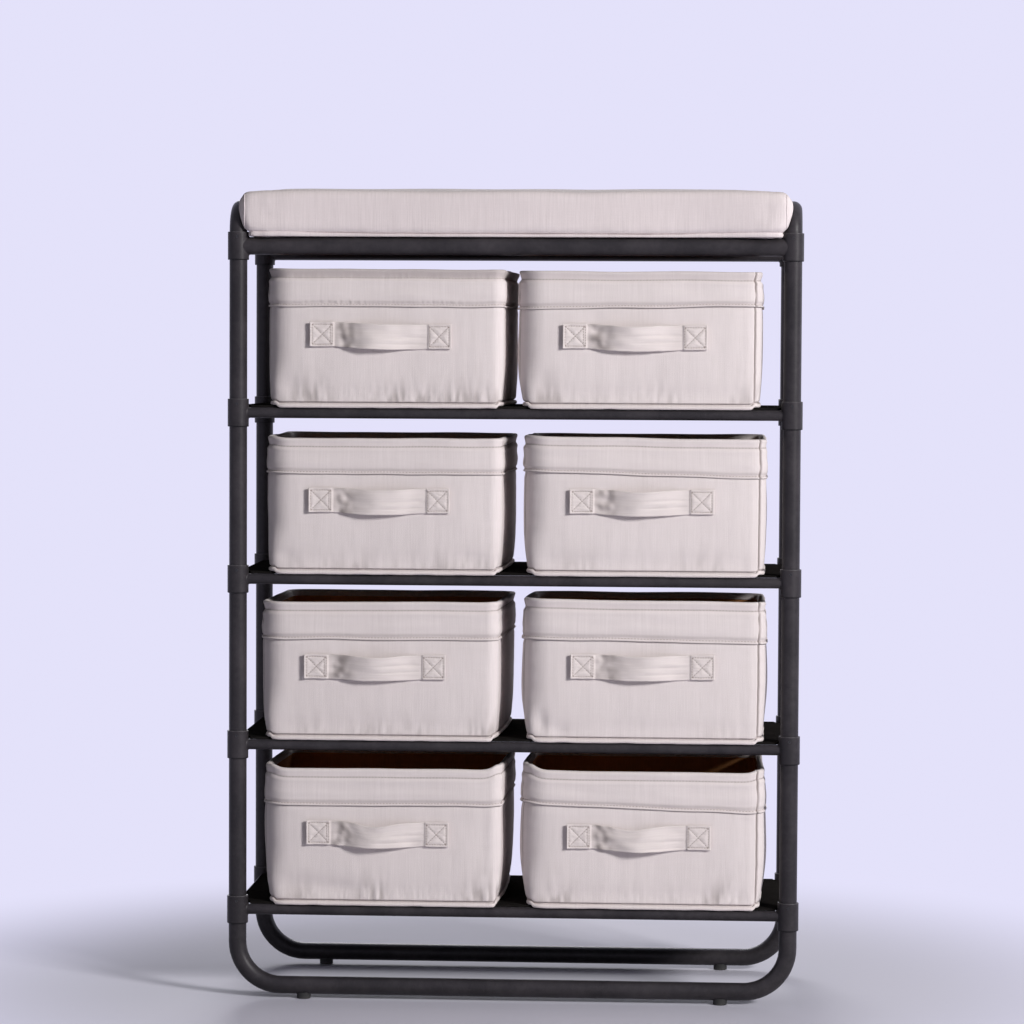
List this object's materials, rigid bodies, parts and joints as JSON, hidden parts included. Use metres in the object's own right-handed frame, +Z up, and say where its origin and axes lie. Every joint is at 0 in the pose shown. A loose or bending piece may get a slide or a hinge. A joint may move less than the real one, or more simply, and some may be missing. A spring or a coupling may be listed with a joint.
{
  "type": "fabric drawer dresser",
  "caption": "Open tube-frame dresser with rows of pull-out fabric bins with strap handles and a padded, lift-off top.",
  "frame": {"origin": "on the floor, under the middle of the whole object", "axes": "+Z up, the fronts of the bins face -Y, +X to the right seen from the front"},
  "size_m": [0.8202, 0.3415, 1.163],
  "materials": {
    "powder_coat": "textured gunmetal powder coat",
    "deck_board": "black stained hardboard",
    "foot_rubber": "matte moulded rubber",
    "zinc_screw": "zinc plated",
    "black_screw": "black oxide",
    "canvas": "slubby natural cotton-linen canvas",
    "webbing": "twill cotton webbing",
    "grey_board": "grey fibreboard, hidden",
    "linen": "natural linen weave",
    "foam": "polyurethane foam, hidden",
    "plywood": "plain plywood, hidden"
  },
  "bodies": {
    "frame": {"base_loop_front": "powder_coat", "base_loop_rear": "powder_coat", "side_loop_left": "powder_coat", "side_loop_right": "powder_coat", "upright_tubes_front_left": "powder_coat", "tee_fittings_front_left": "powder_coat", "corner_fitting_front_left": "powder_coat", "upright_tubes_front_right": "powder_coat", "tee_fittings_front_right": "powder_coat", "corner_fitting_front_right": "powder_coat", "upright_tubes_rear_left": "powder_coat", "tee_fittings_rear_left": "powder_coat", "corner_fitting_rear_left": "powder_coat", "upright_tubes_rear_right": "powder_coat", "tee_fittings_rear_right": "powder_coat", "corner_fitting_rear_right": "powder_coat", "top_rail_front": "powder_coat", "top_rail_rear": "powder_coat", "shelf_1_long_rails": "powder_coat", "shelf_1_side_rails": "powder_coat", "shelf_1_deck": "deck_board", "shelf_2_long_rails": "powder_coat", "shelf_2_side_rails": "powder_coat", "shelf_2_deck": "deck_board", "shelf_3_long_rails": "powder_coat", "shelf_3_side_rails": "powder_coat", "shelf_3_deck": "deck_board", "shelf_4_long_rails": "powder_coat", "shelf_4_side_rails": "powder_coat", "shelf_4_deck": "deck_board", "foot_pads": "foot_rubber", "foot_screws": "zinc_screw", "sleeve_grub_screws": "black_screw"},
    "bin_1_left": {"bin_1_left_shell": "canvas", "bin_1_left_boards": "grey_board", "bin_1_left_handle": "webbing"},
    "bin_1_right": {"bin_1_right_shell": "canvas", "bin_1_right_boards": "grey_board", "bin_1_right_handle": "webbing"},
    "bin_2_left": {"bin_2_left_shell": "canvas", "bin_2_left_boards": "grey_board", "bin_2_left_handle": "webbing"},
    "bin_2_right": {"bin_2_right_shell": "canvas", "bin_2_right_boards": "grey_board", "bin_2_right_handle": "webbing"},
    "bin_3_left": {"bin_3_left_shell": "canvas", "bin_3_left_boards": "grey_board", "bin_3_left_handle": "webbing"},
    "bin_3_right": {"bin_3_right_shell": "canvas", "bin_3_right_boards": "grey_board", "bin_3_right_handle": "webbing"},
    "bin_4_left": {"bin_4_left_shell": "canvas", "bin_4_left_boards": "grey_board", "bin_4_left_handle": "webbing"},
    "bin_4_right": {"bin_4_right_shell": "canvas", "bin_4_right_boards": "grey_board", "bin_4_right_handle": "webbing"},
    "cushion": {"cushion_cover": "linen", "cushion_foam": "foam", "cushion_board": "plywood"}
  },
  "joints": [
    {"name": "bin_1_left_slide", "type": "slide", "parent": "frame", "child": "bin_1_left", "axis": [0, -1, 0], "range_m": [0, 0.3]},
    {"name": "bin_1_right_slide", "type": "slide", "parent": "frame", "child": "bin_1_right", "axis": [0, -1, 0], "range_m": [0, 0.3]},
    {"name": "bin_2_left_slide", "type": "slide", "parent": "frame", "child": "bin_2_left", "axis": [0, -1, 0], "range_m": [0, 0.3]},
    {"name": "bin_2_right_slide", "type": "slide", "parent": "frame", "child": "bin_2_right", "axis": [0, -1, 0], "range_m": [0, 0.3]},
    {"name": "bin_3_left_slide", "type": "slide", "parent": "frame", "child": "bin_3_left", "axis": [0, -1, 0], "range_m": [0, 0.3]},
    {"name": "bin_3_right_slide", "type": "slide", "parent": "frame", "child": "bin_3_right", "axis": [0, -1, 0], "range_m": [0, 0.3]},
    {"name": "bin_4_left_slide", "type": "slide", "parent": "frame", "child": "bin_4_left", "axis": [0, -1, 0], "range_m": [0, 0.3]},
    {"name": "bin_4_right_slide", "type": "slide", "parent": "frame", "child": "bin_4_right", "axis": [0, -1, 0], "range_m": [0, 0.3]},
    {"name": "cushion_lift", "type": "slide", "parent": "frame", "child": "cushion", "axis": [0, 0, 1], "range_m": [0, 0.1]}
  ]
}
